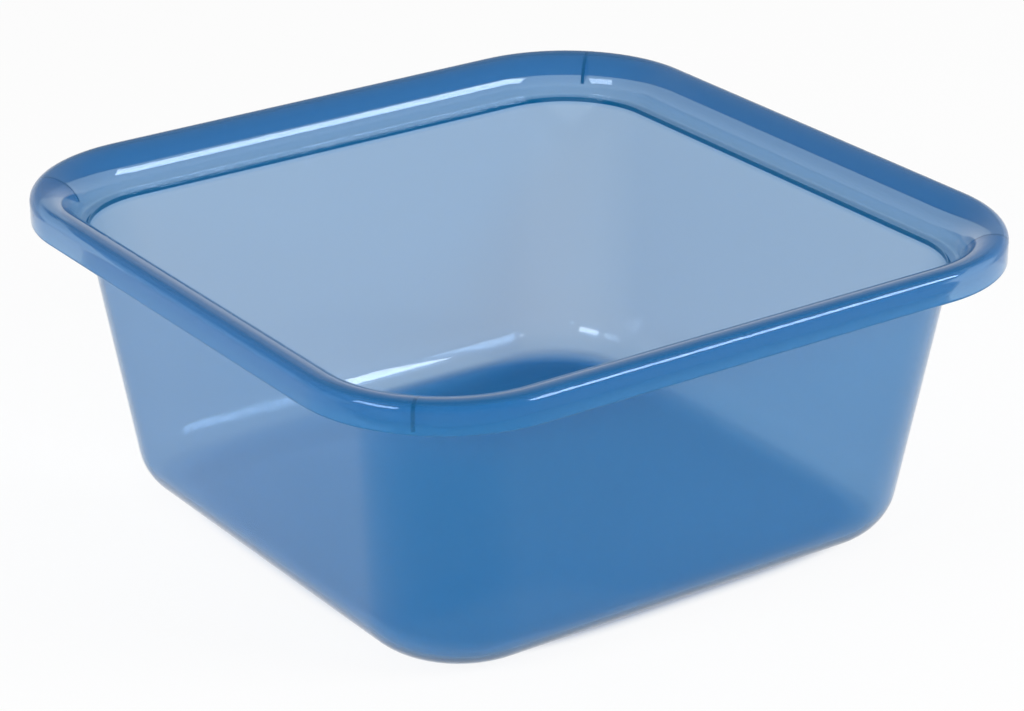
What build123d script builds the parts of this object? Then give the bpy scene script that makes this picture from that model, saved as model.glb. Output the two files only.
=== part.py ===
from build123d import *
import math
import os

os.makedirs("parts", exist_ok=True)

# A square washing up bowl, moulded in one shot of tinted clear plastic.
# Sizes are in millimetres. The origin is the centre of the underside of the base, +Z is up.

# Overall
RIM_WIDTH = 310.0  # across the rim, outside to outside, the same both ways
HEIGHT = 130.0  # from the underside of the base to the top of the rim
WALL = 1.5  # thickness of the walls

# Body: flat base, large base fillet, straight walls that lean outwards
BASE_THICKNESS = 2.5  # thicker than the walls, because the mould fills through it
BASE_WIDTH = 239.0  # the walls' outer faces carried down to the underside of the base
BASE_CORNER_RADIUS = 42.7  # upright corners of the outer face, carried down the same way
BASE_FILLET = 22.0  # outer fillet between the base and the walls

# Rim: a skirt outside, a narrow land on top, and a wide roll down into the bowl
RIM_CORNER_RADIUS = 61.5  # outer face of the skirt, seen from above
RIM_WALL = 2.2  # thickness of the rim and the ledge, stouter than the walls to stiffen the mouth
SKIRT_DEPTH = 12.0  # top of the rim to the lower edge of the skirt
RIM_ROUND = 4.0  # outer top edge
RIM_LAND = 0.5  # flat strip between the two rounds
RIM_ROLL = 14.2  # convex roll from the land down to the collar
LIP_ROUND = 0.6  # both edges of the skirt's lower lip

# Shoulder: the ledge inside, on which the next bowl of a stack sits
COLLAR_STRAIGHT = 0.3  # upright strip between the roll and the shoulder's inner round
SHOULDER_STEP = 4.2  # width of the ledge
SHOULDER_ROUND = 0.6  # rounds where the ledge meets the collar and the wall

# Gussets: one web on the diagonal of each corner, in the hollow under the rim
GUSSET_THICKNESS = 1.5
GUSSET_SETBACK = 1.0  # from the skirt's lower edge up to the web's lower edge

OVERRUN = 10.0  # how far a cutting shape reaches past what it cuts
TOUCHING = 0.01  # two things nearer than this are taken to touch

rim_overhang = RIM_ROUND + RIM_LAND + RIM_ROLL
shoulder_depth = RIM_ROLL + COLLAR_STRAIGHT + SHOULDER_ROUND
shoulder_height = HEIGHT - shoulder_depth
lip_round = min(LIP_ROUND, RIM_WALL / 3)

# The bowl's inner face where it meets the ledge
mouth_half = RIM_WIDTH / 2 - rim_overhang - SHOULDER_STEP
mouth_radius = RIM_CORNER_RADIUS - rim_overhang - SHOULDER_STEP


def level_wall():
    """Thickness of the leaning wall measured level, so that it is WALL measured square."""
    level = WALL
    for _ in range(6):
        lean = math.atan((mouth_half + level - BASE_WIDTH / 2) / shoulder_height)
        level = WALL / math.cos(lean)
    return level


wall_across = level_wall()

# Under the ledge, the flat left between the wall and the collar's outer round sets the root's round
root_flat = SHOULDER_STEP - SHOULDER_ROUND - wall_across
root_round = min(SHOULDER_ROUND, max(root_flat, TOUCHING))


def body_plan(height, inset):
    """Rounded square of the body at a height, drawn in from the outer face by inset."""
    share = height / shoulder_height
    half = BASE_WIDTH / 2 + (mouth_half + wall_across - BASE_WIDTH / 2) * share
    radius = BASE_CORNER_RADIUS + (mouth_radius + wall_across - BASE_CORNER_RADIUS) * share
    width = 2 * (half - inset)
    return Pos(0, 0, height) * RectangleRounded(width, width, radius - inset)


def tapered_block(bottom, top, inset, fillet_radius):
    """Solid between two levels of the body, with its bottom edge filleted."""
    block = loft([body_plan(bottom, inset), body_plan(top, inset)], ruled=True)
    return fillet(block.edges().group_by(Axis.Z)[0], fillet_radius)


def rim_section():
    """Section through the rim and the ledge: X is 0 on the skirt's outer face, Y is height."""
    lip = HEIGHT - SKIRT_DEPTH
    collar = -rim_overhang
    ledge_end = collar - SHOULDER_STEP - OVERRUN
    corners = [
        ((0, lip), lip_round),
        ((0, HEIGHT), RIM_ROUND),
        ((collar, HEIGHT), RIM_ROLL),
        ((collar, shoulder_height), SHOULDER_ROUND),
        ((ledge_end, shoulder_height), 0),
        ((ledge_end, shoulder_height - RIM_WALL), 0),
        ((collar + RIM_WALL, shoulder_height - RIM_WALL), SHOULDER_ROUND + RIM_WALL),
        ((collar + RIM_WALL, HEIGHT - RIM_WALL), RIM_ROLL - RIM_WALL),
        ((-RIM_WALL, HEIGHT - RIM_WALL), RIM_ROUND - RIM_WALL),
        ((-RIM_WALL, lip), lip_round),
    ]
    points = [point for point, _ in corners]
    radii = [radius for _, radius in corners]
    return make_face(FilletPolyline(*points, radius=radii, close=True).edges())


def rim_ring():
    """The rim's section carried round the plan of the skirt."""
    path = RectangleRounded(RIM_WIDTH, RIM_WIDTH, RIM_CORNER_RADIUS).wire()
    start = path @ 0
    outward = (path % 0).cross(Vector(0, 0, 1))
    if outward.dot(start) < 0:
        outward = -outward
    section_plane = Plane(origin=start, x_dir=outward, z_dir=outward.cross(Vector(0, 0, 1)))
    return sweep(section_plane * rim_section(), path=path)


def gusset():
    """Web in one corner, its edges buried half way into the skirt, the roll and the collar."""
    skirt_side = -RIM_WALL / 2
    collar_side = RIM_WALL / 2 - rim_overhang
    top = HEIGHT - RIM_WALL / 2
    hollow = FilletPolyline(
        (skirt_side, shoulder_height),
        (skirt_side, top),
        (collar_side, top),
        (collar_side, shoulder_height),
        radius=[0, RIM_ROUND - RIM_WALL / 2, RIM_ROLL - RIM_WALL / 2, 0],
        close=True,
    )
    bottom = HEIGHT - SKIRT_DEPTH + GUSSET_SETBACK
    band = Pos(-rim_overhang / 2, (bottom + HEIGHT) / 2) * Rectangle(rim_overhang, HEIGHT - bottom)
    web = make_face(hollow.edges()) & band
    centre = RIM_WIDTH / 2 - RIM_CORNER_RADIUS
    along = Vector(1, 1, 0).normalized()
    origin = Vector(centre, centre, 0) + along * RIM_CORNER_RADIUS
    web_plane = Plane(origin=origin, x_dir=along, z_dir=along.cross(Vector(0, 0, 1)))
    return extrude(web_plane * web, amount=GUSSET_THICKNESS / 2, both=True)


def edges_along(part, outline):
    """The part's edges that lie on an outline."""
    return [edge for edge in part.edges() if outline.distance_to(edge @ 0.5) < TOUCHING]


def bowl():
    """The whole moulding."""
    outer = tapered_block(0, shoulder_height, 0, BASE_FILLET)
    inner_fillet = BASE_FILLET - BASE_THICKNESS
    cavity = tapered_block(BASE_THICKNESS, HEIGHT + OVERRUN, wall_across, inner_fillet)
    shell = outer + rim_ring() - cavity
    ledge_edge = body_plan(shoulder_height, wall_across).wire()
    shell = fillet(edges_along(shell, ledge_edge), SHOULDER_ROUND)
    root = body_plan(shoulder_height - RIM_WALL, 0).wire()
    shell = fillet(edges_along(shell, root), root_round)
    for quarter in range(4):
        shell += Rot(0, 0, 90 * quarter) * gusset()
    return shell


moulding = bowl()
moulding.label = "bowl"
export_step(moulding, "parts/bowl.step")
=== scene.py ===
"""Looks of a square washing up bowl, moulded in one shot of tinted clear polypropylene.

Lengths named here are in millimetres and become metres where a mesh, a lamp or the camera is made.
"""
import logging
import math
from dataclasses import dataclass
from enum import Enum

import bmesh
import bpy
from mathutils import Matrix, Vector


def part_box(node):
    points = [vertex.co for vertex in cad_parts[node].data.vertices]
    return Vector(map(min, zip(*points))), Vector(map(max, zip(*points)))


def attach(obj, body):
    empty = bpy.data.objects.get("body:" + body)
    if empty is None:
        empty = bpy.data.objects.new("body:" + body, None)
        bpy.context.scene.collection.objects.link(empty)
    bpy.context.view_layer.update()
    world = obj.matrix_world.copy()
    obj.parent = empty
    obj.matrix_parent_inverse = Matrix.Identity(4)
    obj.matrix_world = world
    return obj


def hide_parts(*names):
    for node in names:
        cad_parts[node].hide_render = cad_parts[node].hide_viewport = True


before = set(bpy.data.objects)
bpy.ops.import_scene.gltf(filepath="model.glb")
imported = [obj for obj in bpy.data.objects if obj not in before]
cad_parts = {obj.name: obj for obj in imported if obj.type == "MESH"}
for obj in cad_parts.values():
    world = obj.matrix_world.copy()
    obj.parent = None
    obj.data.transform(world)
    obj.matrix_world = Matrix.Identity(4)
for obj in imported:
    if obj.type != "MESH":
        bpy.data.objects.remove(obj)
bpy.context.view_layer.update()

MM = 0.001
TOUCHING = 0.01
SETTLING_ROUNDS = 6
UP = Vector((0, 0, 1))
QUARTERS = ((1, 1), (-1, 1), (-1, -1), (1, -1))
log = logging.getLogger("washing_up_bowl")


def linear(srgb_hex: str) -> tuple[float, float, float, float]:
    """Turn an sRGB hex colour into the linear colour that a shader takes.

    Args:
        srgb_hex: six hex digits, such as "2f7ab8".

    Returns:
        Red, green, blue and an alpha of 1.
    """
    shares = [int(srgb_hex[i:i + 2], 16) / 255 for i in (0, 2, 4)]
    return (*[s / 12.92 if s <= 0.04045 else ((s + 0.055) / 1.055) ** 2.4 for s in shares], 1.0)


def add_node(
    tree: bpy.types.NodeTree, kind: str, inputs: dict | None = None, **settings: object
) -> bpy.types.Node:
    """Add a node with its settings, its values and its links.

    Args:
        tree: the material's or world's tree.
        kind: Blender's name for the node's type.
        inputs: for each input, a value or the output socket that feeds it.
        settings: the node's own options.

    Returns:
        The new node.
    """
    node = tree.nodes.new(kind)
    for name, value in settings.items():
        setattr(node, name, value)
    for key, value in (inputs or {}).items():
        if isinstance(value, bpy.types.NodeSocket):
            tree.links.new(value, node.inputs[key])
        else:
            node.inputs[key].default_value = value
    return node


def seen_directly(tree: bpy.types.NodeTree) -> bpy.types.NodeSocket:
    """Tell rays that show a surface, straight on, mirrored or through the bowl, from rays that light it.

    Args:
        tree: the material's or world's tree.

    Returns:
        An output of 1 for a ray that shows the surface, and 0 for any other.
    """
    path = add_node(tree, "ShaderNodeLightPath").outputs
    mirrored = add_node(tree, "ShaderNodeMath", {
        0: path["Is Camera Ray"], 1: path["Is Glossy Ray"],
    }, operation="MAXIMUM")
    return add_node(tree, "ShaderNodeMath", {
        0: mirrored.outputs["Value"], 1: path["Is Transmission Ray"],
    }, operation="MAXIMUM").outputs["Value"]


class Facing(Enum):
    """Which face of the wall a run of levels follows."""

    OUTSIDE = "outside"
    INSIDE = "inside"


@dataclass(frozen=True)
class Level:
    """One level outline of the bowl: a square with round corners, in millimetres."""

    half: float
    radius: float
    height: float


@dataclass
class BowlMoulding:
    """The one moulding that the bowl is: base, walls, stacking shoulder, rolled rim and corner webs."""

    rim_width: float
    height: float
    wall: float = 1.5
    rim_wall: float = 2.2
    base_thickness: float = 2.5
    base_width: float = 239.0
    base_corner_radius: float = 42.7
    base_fillet: float = 22.0
    rim_corner_radius: float = 61.5
    skirt_depth: float = 12.0
    rim_round: float = 4.0
    rim_land: float = 0.5
    rim_roll: float = 14.2
    lip_round: float = 0.6
    collar_straight: float = 0.3
    shoulder_step: float = 4.2
    shoulder_round: float = 0.6
    web_thickness: float = 1.5
    web_setback: float = 1.0
    web_surrounds_share: float = 4.0
    corner_steps: int = 32
    fillet_steps: int = 18
    roll_steps: int = 22
    edge_steps: int = 6

    @property
    def overhang(self) -> float:
        """How far the rim stands out from the collar."""
        return self.rim_round + self.rim_land + self.rim_roll

    @property
    def shoulder_height(self) -> float:
        """Height of the ledge inside."""
        return self.height - self.rim_roll - self.collar_straight - self.shoulder_round

    @property
    def mouth_half(self) -> float:
        """Half the width between the inner faces at the ledge."""
        return self.rim_width / 2 - self.overhang - self.shoulder_step

    @property
    def corner_centre(self) -> float:
        """Distance of the rim's corner centres from the middle, along X and Y alike."""
        return self.rim_width / 2 - self.rim_corner_radius

    @property
    def wall_across(self) -> float:
        """Find the thickness of the leaning wall measured level.

        Returns:
            The level thickness that gives the wall its own thickness measured square.
        """
        level = self.wall
        for _ in range(SETTLING_ROUNDS):
            rise = self.mouth_half + level - self.base_width / 2
            level = self.wall / math.cos(math.atan(rise / self.shoulder_height))
        return level

    def rim_level(self, half: float, height: float) -> Level:
        """Level of the rim, whose corners all turn about one centre."""
        return Level(half, half - self.corner_centre, height)

    def body_reach(self, facing: Facing, height: float) -> tuple[float, float]:
        """Find how far the straight leaning wall stands from the middle.

        Args:
            facing: the wall's outer or inner face.
            height: the level asked for.

        Returns:
            The distance square to a side, and the distance along a diagonal.
        """
        inset = self.wall_across if facing is Facing.INSIDE else 0.0
        share = height / self.shoulder_height
        top_half = self.mouth_half + self.wall_across
        half = self.base_width / 2 + (top_half - self.base_width / 2) * share - inset
        top_radius = top_half - self.corner_centre
        radius = self.base_corner_radius + (top_radius - self.base_corner_radius) * share - inset
        return half, (half - radius) * math.sqrt(2) + radius

    def body_level(self, facing: Facing, height: float) -> Level:
        """Find one level of the body, its base fillet included.

        Args:
            facing: the wall's outer or inner face.
            height: the level asked for.

        Returns:
            The level's outline.
        """
        floor = self.base_thickness if facing is Facing.INSIDE else 0.0
        fillet = self.base_fillet - floor
        reaches = []
        foot, above = self.body_reach(facing, floor), self.body_reach(facing, floor + 1)
        for start, raised, straight in zip(foot, above, self.body_reach(facing, height)):
            lean = math.atan(raised - start)
            ball = start + fillet * math.tan(lean) - fillet / math.cos(lean)
            up = height - floor
            if up < fillet * (1 - math.sin(lean)):
                reaches.append(ball + math.sqrt(fillet**2 - (fillet - up) ** 2))
            else:
                reaches.append(straight)
        side, diagonal = reaches
        radius = (side * math.sqrt(2) - diagonal) / (math.sqrt(2) - 1)
        return Level(side, radius, height)

    def body_levels(self, facing: Facing) -> list[Level]:
        """List the levels of the base fillet.

        Args:
            facing: the wall's outer or inner face.

        Returns:
            The levels from the flat of the base up to the straight wall.
        """
        floor = self.base_thickness if facing is Facing.INSIDE else 0.0
        fillet = self.base_fillet - floor
        turns = [math.pi / 2 * step / self.fillet_steps for step in range(self.fillet_steps + 1)]
        return [self.body_level(facing, floor + fillet * (1 - math.cos(turn))) for turn in turns]

    def rounded(self, points: list[tuple[float, float, float, int]]) -> list[tuple[float, float]]:
        """Round the corners of an outline in the plane of half width and height.

        Args:
            points: half width, height, radius and number of steps of each corner in turn; the
                first and the last are ends and aren't rounded.

        Returns:
            The outline's points, each corner as its tangent arc.
        """
        line = [points[0][:2]]
        for before, corner, after in zip(points, points[1:], points[2:]):
            at = Vector(corner[:2])
            back = (Vector(before[:2]) - at).normalized()
            ahead = (Vector(after[:2]) - at).normalized()
            radius, steps = corner[2:]
            half_angle = back.angle(ahead) / 2
            centre = at + (back + ahead).normalized() * (radius / math.sin(half_angle))
            start = at + back * (radius / math.tan(half_angle)) - centre
            sweep = math.pi - 2 * half_angle
            turn = math.copysign(sweep, back.x * start.y - back.y * start.x)
            for step in range(steps + 1):
                point = centre + Matrix.Rotation(turn * step / steps, 2) @ start
                line.append((point.x, point.y))
        line.append(points[-1][:2])
        return line

    def rim_levels(self) -> list[Level]:
        """List the levels of the ledge and the rim.

        Returns:
            The levels from the outer wall's top, under the ledge, round the skirt and the roll and
            over the ledge, to the inner wall.
        """
        skirt = self.rim_width / 2
        collar = skirt - self.overhang
        ledge, top = self.shoulder_height, self.height
        lip, under = top - self.skirt_depth, ledge - self.rim_wall
        below = under - 2 * self.shoulder_round
        edge = self.edge_steps
        outer_foot = self.body_reach(Facing.OUTSIDE, below)[0]
        outer_root = self.body_reach(Facing.OUTSIDE, under)[0]
        inner_foot = self.body_reach(Facing.INSIDE, below)[0]
        root_flat = self.shoulder_step - self.shoulder_round - self.wall_across
        outline = [
            (outer_foot, below, 0.0, 0),
            (outer_root, under, min(self.shoulder_round, root_flat), edge),
            (collar + self.rim_wall, under, self.shoulder_round + self.rim_wall, edge),
            (collar + self.rim_wall, top - self.rim_wall, self.rim_roll - self.rim_wall, self.roll_steps),
            (skirt - self.rim_wall, top - self.rim_wall, self.rim_round - self.rim_wall, edge),
            (skirt - self.rim_wall, lip, self.lip_round, edge),
            (skirt, lip, self.lip_round, edge),
            (skirt, top, self.rim_round, 2 * edge),
            (collar, top, self.rim_roll, self.roll_steps),
            (collar, ledge, self.shoulder_round, edge),
            (self.mouth_half, ledge, self.shoulder_round, edge),
            (inner_foot, below, 0.0, 0),
        ]
        return [self.rim_level(half, height) for half, height in self.rounded(outline)]

    def all_levels(self) -> list[Level]:
        """List every level of the skin.

        Returns:
            The levels in order, from the flat underside round the whole skin to the flat inside.
        """
        outside = self.body_levels(Facing.OUTSIDE)
        inside = self.body_levels(Facing.INSIDE)
        rim = self.rim_levels()
        return outside + rim[1:-1] + inside[::-1]

    def lay_outline(self, bm: bmesh.types.BMesh, level: Level) -> list[bmesh.types.BMEdge]:
        """Lay the first level's outline, filled as the flat of the base.

        Args:
            bm: the empty mesh.
            level: the outline's sizes and height.

        Returns:
            The outline's edges.
        """
        place = Matrix.Translation((0, 0, level.height * MM))
        square = bmesh.ops.create_grid(
            bm, x_segments=1, y_segments=1, size=level.half * MM, matrix=place
        )
        bmesh.ops.bevel(
            bm, geom=square["verts"], offset=level.radius * MM, offset_type="OFFSET",
            segments=self.corner_steps, profile=0.5, affect="VERTICES", material=-1,
        )
        return list(bm.edges)

    def carry_outline(
        self, bm: bmesh.types.BMesh, edges: list[bmesh.types.BMEdge], before: Level, after: Level
    ) -> list[bmesh.types.BMEdge]:
        """Extrude an outline and carry its corners to the next level.

        Args:
            bm: the bowl's mesh so far.
            edges: the outline that the skin has reached.
            before: that outline's level.
            after: the level to carry it to.

        Returns:
            The new outline's edges.
        """
        grown = bmesh.ops.extrude_edge_only(bm, edges=edges)["geom"]
        verts = {part for part in grown if isinstance(part, bmesh.types.BMVert)}
        scale = after.radius / before.radius
        start, end = before.half - before.radius, after.half - after.radius
        for side_x, side_y in QUARTERS:
            corner = [v for v in verts if v.co.x * side_x > 0 and v.co.y * side_y > 0]
            pivot = Matrix.Translation((-side_x * start * MM, -side_y * start * MM, 0))
            bmesh.ops.scale(bm, vec=(scale, scale, 1), space=pivot, verts=corner)
            shift = Vector((side_x * (end - start), side_y * (end - start), after.height - before.height))
            bmesh.ops.translate(bm, vec=shift * MM, verts=corner)
        return [part for part in grown if isinstance(part, bmesh.types.BMEdge)
                and verts.issuperset(part.verts)]

    def skin(self) -> tuple[bmesh.types.BMesh, list[bmesh.types.BMFace]]:
        """Carry the base's outline through all levels into the closed skin, without its webs.

        Returns:
            The skin, and those of its faces that line the hollow under the rim.
        """
        bm = bmesh.new()
        levels = self.all_levels()
        edges = self.lay_outline(bm, levels[0])
        skirt_inside = self.rim_width / 2 - self.rim_wall
        lip = next(i for i, level in enumerate(levels) if level.half > skirt_inside + TOUCHING)
        hollow = []
        for index, (before, after) in enumerate(zip(levels, levels[1:])):
            edges = self.carry_outline(bm, edges, before, after)
            if before.height > self.shoulder_height and index < lip - 1:
                hollow += {face for edge in edges for face in edge.link_faces}
        bmesh.ops.contextual_create(bm, geom=edges)
        return bm, hollow

    def add_web(
        self, bm: bmesh.types.BMesh, hollow: list[bmesh.types.BMFace], along: Vector
    ) -> None:
        """Stand one web in the hollow, joined to the skin on both sides and on top.

        Args:
            bm: the closed skin.
            hollow: the faces that line the hollow in this corner.
            along: level direction of the corner's diagonal, from the middle outwards.
        """
        across = Vector((-along.y, along.x, 0))
        half = self.web_thickness / 2 * MM
        bottom = (self.height - self.skirt_depth + self.web_setback) * MM
        region = list({part for face in hollow for part in (face, *face.edges, *face.verts)})
        cuts = ((across * half, across), (across * -half, across), (Vector((0, 0, bottom)), UP))
        for place, normal in cuts:
            region = bmesh.ops.bisect_plane(
                bm, geom=region, dist=TOUCHING * MM, plane_co=place, plane_no=normal
            )["geom"]
        covered = []
        for face in (part for part in region if isinstance(part, bmesh.types.BMFace)):
            centre = face.calc_center_median()
            if abs(centre.dot(across)) < half and centre.z > bottom:
                covered.append(face)
        bmesh.ops.delete(bm, geom=covered, context="FACES")
        rim = [edge for edge in bm.edges if edge.is_boundary]
        foot = [edge for edge in rim if all(abs(v.co.z - bottom) < TOUCHING * MM for v in edge.verts)]
        for side in (half, -half):
            cheek = [e for e in rim if all(abs(v.co.dot(across) - side) < TOUCHING * MM for v in e.verts)]
            ends = [v for e in cheek for v in e.verts if abs(v.co.z - bottom) < TOUCHING * MM]
            floor = bmesh.ops.contextual_create(bm, geom=ends)["edges"]
            bmesh.ops.contextual_create(bm, geom=cheek + floor)
            foot += floor
        bmesh.ops.contextual_create(bm, geom=foot)
        for edge in {*rim, *foot}:
            edge.smooth = False

    def is_near(self, face: bmesh.types.BMFace, along: Vector) -> bool:
        """Tell whether a face lies close to a corner's diagonal.

        Args:
            face: one of the faces that line the hollow under the rim.
            along: level direction of the corner's diagonal, from the middle outwards.

        Returns:
            Whether the corner's web can touch the face.
        """
        centre = face.calc_center_median()
        reach = centre.dot(along)
        surrounds = self.web_thickness * self.web_surrounds_share * MM
        return reach > 0 and (centre - along * reach).xy.length < surrounds

    def build(self) -> bpy.types.Object:
        """Make the bowl: its skin, and the web in each of its corners.

        Returns:
            The bowl's object.
        """
        bm, hollow = self.skin()
        diagonals = [Vector((side_x, side_y, 0)).normalized() for side_x, side_y in QUARTERS]
        corners = [[face for face in hollow if self.is_near(face, along)] for along in diagonals]
        for along, corner in zip(diagonals, corners):
            self.add_web(bm, corner, along)
        bmesh.ops.recalc_face_normals(bm, faces=bm.faces)
        for face in bm.faces:
            face.smooth = True
        mesh = bpy.data.meshes.new("bowl_moulding")
        bm.to_mesh(mesh)
        bm.free()
        bowl = bpy.data.objects.new("bowl_moulding", mesh)
        bpy.context.scene.collection.objects.link(bowl)
        return bowl


@dataclass(frozen=True)
class TintedPolypropylene:
    """Translucent polypropylene, tinted blue through its thickness, moulded in a polished tool.

    It reads as see-through with a milky cast: a single wall looks pale and greyish against white,
    and each further wall behind it looks deeper and bluer. The base, the ledge and the rim are made
    cloudier than the walls by height, and the rim a darker blue: this is painted shade, in place of
    the deeper tone that the shade under the bowl and the light lost in the rim's several layers give
    them. The skin is glossy, with a faint waviness, and what it mirrors looks faintly blue.

    Fields that end in from or to are heights above the underside of the base.
    """

    name: str = "translucent_polypropylene_blue"
    pigment: str = "1aa0e3"
    haze: float = 0.20
    # painted shade: the base is made cloudier than the walls, which deepens its blue in place of the shade
    # under the bowl
    base_painted_shade_haze: float = 0.40
    base_shade_to: float = 3.4
    wall_haze_from: float = 5.6
    wall_haze_to: float = 111.0
    # painted shade: from the ledge up the plastic is made cloudier, which darkens the rim's bands
    ledge_painted_shade_haze: float = 0.30
    ledge_shade_from: float = 112.5
    ledge_shade_to: float = 115.0
    # painted shade: the rim's darker blue and extra cloud stand in for the dark that its layered plastic
    # shows
    rim_painted_shade_colour: str = "1688d0"
    rim_painted_shade_haze: float = 0.35
    rim_shade_from: float = 126.0
    passed: str = "6ca8ca"
    density: float = 500.0
    mirrored: str = "d4e6ff"
    ior: float = 1.49
    roughness: float = 0.06
    roughness_change: float = 0.03
    sink_width: float = 45.0
    sink_depth: float = 0.05
    sink_octaves: float = 2.0
    sink_softness: float = 0.4
    sink_low: float = 0.3
    sink_high: float = 0.7
    peel_width: float = 1.6
    peel_depth: float = 0.001
    peel_octaves: float = 1.0
    peel_softness: float = 0.5

    def material(self) -> bpy.types.Material:
        """Make the material.

        Returns:
            The material, with its nodes.
        """
        made = bpy.data.materials.new(self.name)
        made.use_nodes = True
        tree = made.node_tree
        tree.nodes.clear()
        place = add_node(tree, "ShaderNodeTexCoord").outputs["Object"]
        sinks = add_node(tree, "ShaderNodeTexNoise", {
            "Vector": place, "Scale": 1 / (self.sink_width * MM),
            "Detail": self.sink_octaves, "Roughness": self.sink_softness,
        })
        peel = add_node(tree, "ShaderNodeTexNoise", {
            "Vector": place, "Scale": 1 / (self.peel_width * MM),
            "Detail": self.peel_octaves, "Roughness": self.peel_softness,
        })
        polish = add_node(tree, "ShaderNodeMapRange", {
            "Value": sinks.outputs["Fac"], "From Min": self.sink_low, "From Max": self.sink_high,
            "To Min": self.roughness - self.roughness_change / 2,
            "To Max": self.roughness + self.roughness_change / 2,
        })
        waves = add_node(tree, "ShaderNodeBump", {
            "Height": sinks.outputs["Fac"], "Strength": 1.0, "Distance": self.sink_depth * MM,
        })
        skin = add_node(tree, "ShaderNodeBump", {
            "Height": peel.outputs["Fac"], "Strength": 1.0, "Distance": self.peel_depth * MM,
            "Normal": waves.outputs["Normal"],
        })
        clear = add_node(tree, "ShaderNodeBsdfPrincipled", {
            "Base Color": linear("ffffff"), "Transmission Weight": 1.0, "IOR": self.ior,
            "Roughness": polish.outputs["Result"], "Normal": skin.outputs["Normal"],
            "Specular Tint": linear(self.mirrored),
        })
        height = add_node(tree, "ShaderNodeSeparateXYZ", {"Vector": place}).outputs["Z"]
        # painted shade: a mask by height that gives the rim its darker blue and more cloud
        rim_shade_mask = add_node(tree, "ShaderNodeMapRange", {
            "Value": height,
            "From Min": self.ledge_shade_to * MM, "From Max": self.rim_shade_from * MM,
        }, interpolation_type="SMOOTHSTEP").outputs["Result"]
        # painted shade: the pigment turns to the darker rim colour by height
        colour = add_node(tree, "ShaderNodeMixRGB", {
            "Fac": rim_shade_mask, "Color1": linear(self.pigment), "Color2": linear(self.rim_painted_shade_colour),
        })
        milky = add_node(tree, "ShaderNodeBsdfPrincipled", {
            "Base Color": colour.outputs["Color"], "IOR": self.ior,
            "Roughness": polish.outputs["Result"], "Normal": skin.outputs["Normal"],
            "Specular Tint": linear(self.mirrored),
        })
        # painted shade: more cloud on the base than on the walls, deepening the base's blue in place of the
        # shade under the bowl
        below = add_node(tree, "ShaderNodeMapRange", {
            "Value": height,
            "From Min": self.base_shade_to * MM, "From Max": self.wall_haze_from * MM,
            "To Min": self.base_painted_shade_haze, "To Max": self.haze,
        }, interpolation_type="SMOOTHSTEP")
        # painted shade: more cloud from the ledge up, darkening the rim's bands
        above = add_node(tree, "ShaderNodeMapRange", {
            "Value": height,
            "From Min": self.wall_haze_to * MM, "From Max": self.ledge_shade_from * MM,
            "To Min": below.outputs["Result"], "To Max": self.ledge_painted_shade_haze,
        }, interpolation_type="SMOOTHSTEP")
        # the milky share: the walls' own haze, plus painted shade on the base, the ledge and the rim
        haze_with_painted_shade = add_node(tree, "ShaderNodeMapRange", {
            "Value": rim_shade_mask, "To Min": above.outputs["Result"], "To Max": self.rim_painted_shade_haze,
        })
        plastic = add_node(tree, "ShaderNodeMixShader", {
            0: haze_with_painted_shade.outputs["Result"], 1: clear.outputs["BSDF"], 2: milky.outputs["BSDF"],
        })
        path = add_node(tree, "ShaderNodeLightPath")
        lamplit = add_node(tree, "ShaderNodeBsdfTransparent")
        surface = add_node(tree, "ShaderNodeMixShader", {
            0: path.outputs["Is Shadow Ray"], 1: plastic.outputs["Shader"], 2: lamplit.outputs["BSDF"],
        })
        dye = add_node(tree, "ShaderNodeVolumeAbsorption", {
            "Color": linear(self.passed), "Density": self.density,
        })
        add_node(tree, "ShaderNodeOutputMaterial", {
            "Surface": surface.outputs["Shader"], "Volume": dye.outputs["Volume"],
        })
        return made


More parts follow.
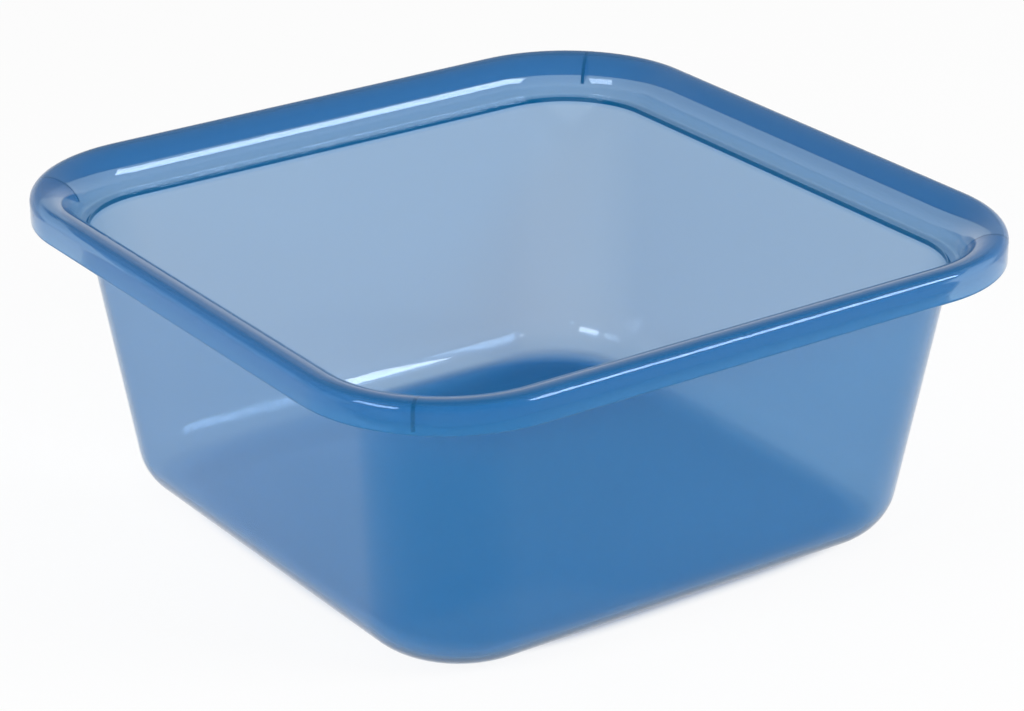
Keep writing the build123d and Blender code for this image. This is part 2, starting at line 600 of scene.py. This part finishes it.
@dataclass(frozen=True)
class WhiteSheet:
    """Matt white paper sweep: even and without gloss.

    Paper's own grain is too fine to show, so it is drawn 6 mm coarse, as a hardly seen unevenness.
    Under and next to the bowl it is lit paper, with the bowl's shadow. Further out the eye meets more
    and more plain white, so that the ground looks bright without more light on the bowl. The lit part
    is a square with round corners, shifted a little away from the camera.
    """

    name: str = "matt_white_paper"
    bright: float = 0.96
    dull: float = 0.94
    grain: float = 6.0
    grain_octaves: float = 3.0
    plain_white: float = 0.9
    plain_from: float = 109.0
    plain_to: float = 120.0
    shade_shift: tuple[float, float, float] = (-6.0, 6.0, 0.0)

    def material(self) -> bpy.types.Material:
        """Make the material.

        Returns:
            The material, with its nodes.
        """
        made = bpy.data.materials.new(self.name)
        made.use_nodes = True
        tree = made.node_tree
        tree.nodes.clear()
        place = add_node(tree, "ShaderNodeTexCoord").outputs["Object"]
        fibres = add_node(tree, "ShaderNodeTexNoise", {
            "Vector": place, "Scale": 1 / (self.grain * MM), "Detail": self.grain_octaves,
        })
        tone = add_node(tree, "ShaderNodeMapRange", {
            "Value": fibres.outputs["Fac"], "To Min": self.dull, "To Max": self.bright,
        })
        paper = add_node(tree, "ShaderNodeBsdfDiffuse", {"Color": tone.outputs["Result"]})
        white = add_node(tree, "ShaderNodeEmission", {"Color": linear("ffffff"), "Strength": 1.0})
        spot = add_node(tree, "ShaderNodeVectorMath", {
            0: place, 1: Vector(self.shade_shift) * MM,
        }, operation="SUBTRACT").outputs["Vector"]
        squares = add_node(tree, "ShaderNodeVectorMath", {0: spot, 1: spot}, operation="MULTIPLY")
        length = add_node(tree, "ShaderNodeVectorMath", {0: squares.outputs["Vector"]}, operation="LENGTH")
        reach = add_node(tree, "ShaderNodeMath", {0: length.outputs["Value"]}, operation="SQRT")
        plain = add_node(tree, "ShaderNodeMapRange", {
            "Value": reach.outputs["Value"],
            "From Min": self.plain_from * MM, "From Max": self.plain_to * MM,
            "To Min": 0.0, "To Max": self.plain_white,
        }, interpolation_type="SMOOTHSTEP")
        share = add_node(tree, "ShaderNodeMath", {
            0: seen_directly(tree), 1: plain.outputs["Result"],
        }, operation="MULTIPLY")
        ground = add_node(tree, "ShaderNodeMixShader", {
            0: share.outputs["Value"], 1: paper.outputs["BSDF"], 2: white.outputs["Emission"],
        })
        add_node(tree, "ShaderNodeOutputMaterial", {"Surface": ground.outputs["Shader"]})
        return made


@dataclass(frozen=True)
class SoftBox:
    """One soft lamp of the studio."""

    name: str
    towards: tuple[float, float, float]
    distance: float
    width: float
    tall: float
    brightness: float

    def place(self, target: Vector) -> bpy.types.Object:
        """Hang the lamp so that it faces the target.

        Args:
            target: the point that it faces, in metres.

        Returns:
            The lamp's object.
        """
        wide, tall = self.width * MM, self.tall * MM
        data = bpy.data.lights.new(self.name, "AREA")
        data.shape, data.size, data.size_y = "RECTANGLE", wide, tall
        data.energy = self.brightness * math.pi * wide * tall
        lamp = bpy.data.objects.new(self.name, data)
        direction = Vector(self.towards).normalized()
        lamp.location = target + direction * self.distance * MM
        lamp.rotation_euler = direction.to_track_quat("Z", "Y").to_euler()
        bpy.context.scene.collection.objects.link(lamp)
        return lamp


@dataclass(frozen=True)
class Studio:
    """A white sweep below a dimmer ceiling, with a soft box to the camera's right and a weaker one left."""

    floor_width: float = 9000.0
    floor_drop: float = 0.1
    sweep_top: float = 0.12
    ceiling_from: float = 0.45
    ceiling: float = 0.45
    main: SoftBox = SoftBox("main_soft_box", (0.695, 0.486, 0.53), 2000.0, 860.0, 520.0, 14.0)
    second: SoftBox = SoftBox("second_soft_box", (0.153, -0.870, 0.469), 2000.0, 900.0, 600.0, 10.0)

    def floor(self) -> bpy.types.Object:
        """Lay the white floor, a hair below the base so that the two faces aren't in one plane.

        Returns:
            The floor's object.
        """
        bm = bmesh.new()
        bmesh.ops.create_grid(bm, x_segments=1, y_segments=1, size=self.floor_width / 2 * MM)
        mesh = bpy.data.meshes.new("floor")
        bm.to_mesh(mesh)
        bm.free()
        mesh.materials.append(WhiteSheet().material())
        floor = bpy.data.objects.new("floor", mesh)
        floor.location.z = -self.floor_drop * MM
        bpy.context.scene.collection.objects.link(floor)
        return floor

    def world(self) -> None:
        """Stand a plain white sweep all round, which turns into the dimmer ceiling higher up."""
        world = bpy.data.worlds.new("studio")
        bpy.context.scene.world = world
        world.use_nodes = True
        tree = world.node_tree
        tree.nodes.clear()
        direction = add_node(tree, "ShaderNodeTexCoord").outputs["Generated"]
        rise = add_node(tree, "ShaderNodeSeparateXYZ", {"Vector": direction}).outputs["Z"]
        strength = add_node(tree, "ShaderNodeMapRange", {
            "Value": rise, "From Min": self.sweep_top, "From Max": self.ceiling_from,
            "To Min": 1.0, "To Max": self.ceiling,
        }, interpolation_type="SMOOTHSTEP")
        white = add_node(tree, "ShaderNodeBackground", {
            "Color": linear("ffffff"), "Strength": strength.outputs["Result"],
        })
        add_node(tree, "ShaderNodeOutputWorld", {"Surface": white.outputs["Background"]})

    def build(self, target: Vector) -> None:
        """Set up floor, world and lamps.

        Args:
            target: the point that the lamps face, in metres.
        """
        self.floor()
        self.world()
        for box in (self.main, self.second):
            box.place(target)


@dataclass(frozen=True)
class ViewCamera:
    """The camera, at the photograph's angle to the bowl."""

    azimuth: float = 55.22
    elevation: float = 23.54
    roll: float = -0.27
    distance: float = 1377.1
    target_height: float = 65.0
    lens: float = 121.2

    @property
    def target(self) -> Vector:
        """The point that the camera looks at, in metres."""
        return Vector((0, 0, self.target_height * MM))

    def build(self) -> bpy.types.Object:
        """Make the camera and set it as the scene's.

        Returns:
            The camera's object.
        """
        turn, rise = math.radians(self.azimuth), math.radians(self.elevation)
        back = Vector((math.sin(turn) * math.cos(rise), -math.cos(turn) * math.cos(rise), math.sin(rise)))
        data = bpy.data.cameras.new("camera")
        data.lens = self.lens
        camera = bpy.data.objects.new("camera", data)
        camera.location = self.target + back * self.distance * MM
        level = back.to_track_quat("Z", "Y").to_matrix()
        camera.rotation_euler = (level @ Matrix.Rotation(math.radians(self.roll), 3, "Z")).to_euler()
        bpy.context.scene.collection.objects.link(camera)
        bpy.context.scene.camera = camera
        return camera


def set_light_paths(bounces: int) -> None:
    """Let light cross enough walls of the bowl.

    Args:
        bounces: the most walls' faces that a ray meets.
    """
    cycles = bpy.context.scene.cycles
    cycles.max_bounces = cycles.transmission_bounces = cycles.transparent_max_bounces = bounces
    cycles.glossy_bounces = bounces // 2
    bpy.context.scene.view_settings.view_transform = "Standard"


def write_sizes() -> None:
    """Bring the scene's placements up to date."""
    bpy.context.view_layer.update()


def main() -> None:
    """Build the bowl, its studio and the camera."""
    logging.basicConfig(level=logging.INFO)
    low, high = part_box("bowl")
    moulding = BowlMoulding(rim_width=(high.x - low.x) / MM, height=high.z / MM)
    piece = moulding.build()
    piece.data.materials.append(TintedPolypropylene().material())
    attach(piece, "root")
    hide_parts("bowl")
    log.info("piece %s: %d faces", piece.name, len(piece.data.polygons))
    camera = ViewCamera()
    camera.build()
    Studio().build(camera.target)
    set_light_paths(bounces=32)
    write_sizes()


if __name__ == "__main__":
    main()
